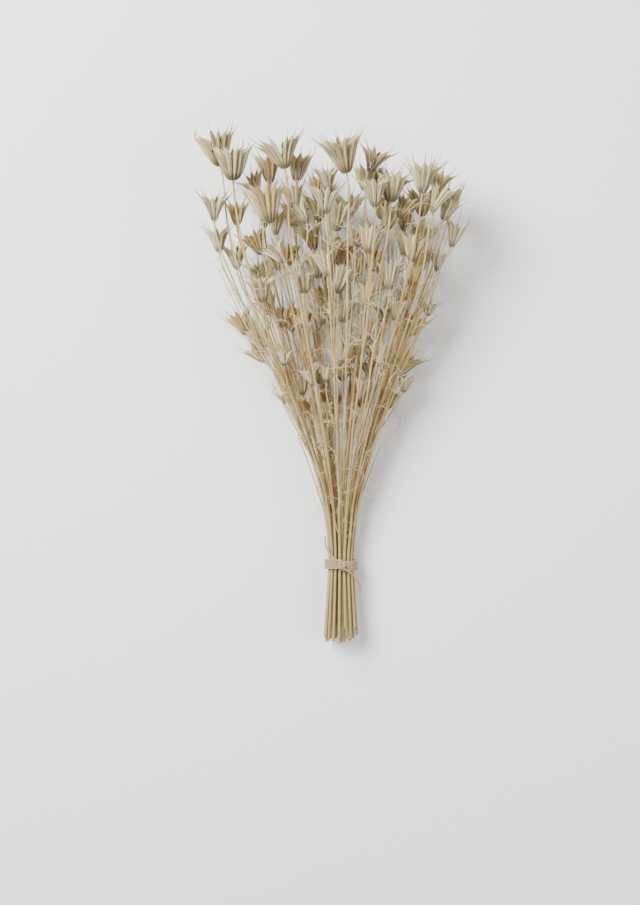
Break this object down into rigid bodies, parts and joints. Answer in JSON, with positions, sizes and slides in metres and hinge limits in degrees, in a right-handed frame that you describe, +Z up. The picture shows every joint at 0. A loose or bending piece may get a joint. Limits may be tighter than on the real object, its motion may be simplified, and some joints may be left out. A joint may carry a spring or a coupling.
{
  "type": "bunch of dried nigella seed pods",
  "caption": "Fan-shaped bunch of dried nigella stems that fork into ribbed, beaked seed pods, tied with twine near the cut ends and lying on its side.",
  "frame": {"origin": "on the surface that the bunch lies on, under the middle of the tie", "axes": "+Y along the stems from the cut ends to the seed pods, +Z up, +X across the fan"},
  "size_m": [0.2379, 0.4526, 0.133],
  "materials": {
    "bleached_straw": "matt, dry and bleached",
    "jute_twine": "matt twisted jute"
  },
  "bodies": {
    "root": {"spray_01": "bleached_straw", "spray_02": "bleached_straw", "spray_03": "bleached_straw", "spray_04": "bleached_straw", "spray_05": "bleached_straw", "spray_06": "bleached_straw", "spray_07": "bleached_straw", "spray_08": "bleached_straw", "spray_09": "bleached_straw", "spray_10": "bleached_straw", "spray_11": "bleached_straw", "spray_12": "bleached_straw", "spray_13": "bleached_straw", "spray_14": "bleached_straw", "spray_15": "bleached_straw", "spray_16": "bleached_straw", "spray_17": "bleached_straw", "spray_18": "bleached_straw", "spray_19": "bleached_straw", "spray_20": "bleached_straw", "spray_21": "bleached_straw", "spray_22": "bleached_straw", "spray_23": "bleached_straw", "spray_24": "bleached_straw", "spray_25": "bleached_straw", "spray_26": "bleached_straw", "spray_27": "bleached_straw", "spray_28": "bleached_straw", "spray_29": "bleached_straw", "spray_30": "bleached_straw", "spray_31": "bleached_straw", "spray_32": "bleached_straw", "tie": "jute_twine"}
  },
  "joints": []
}
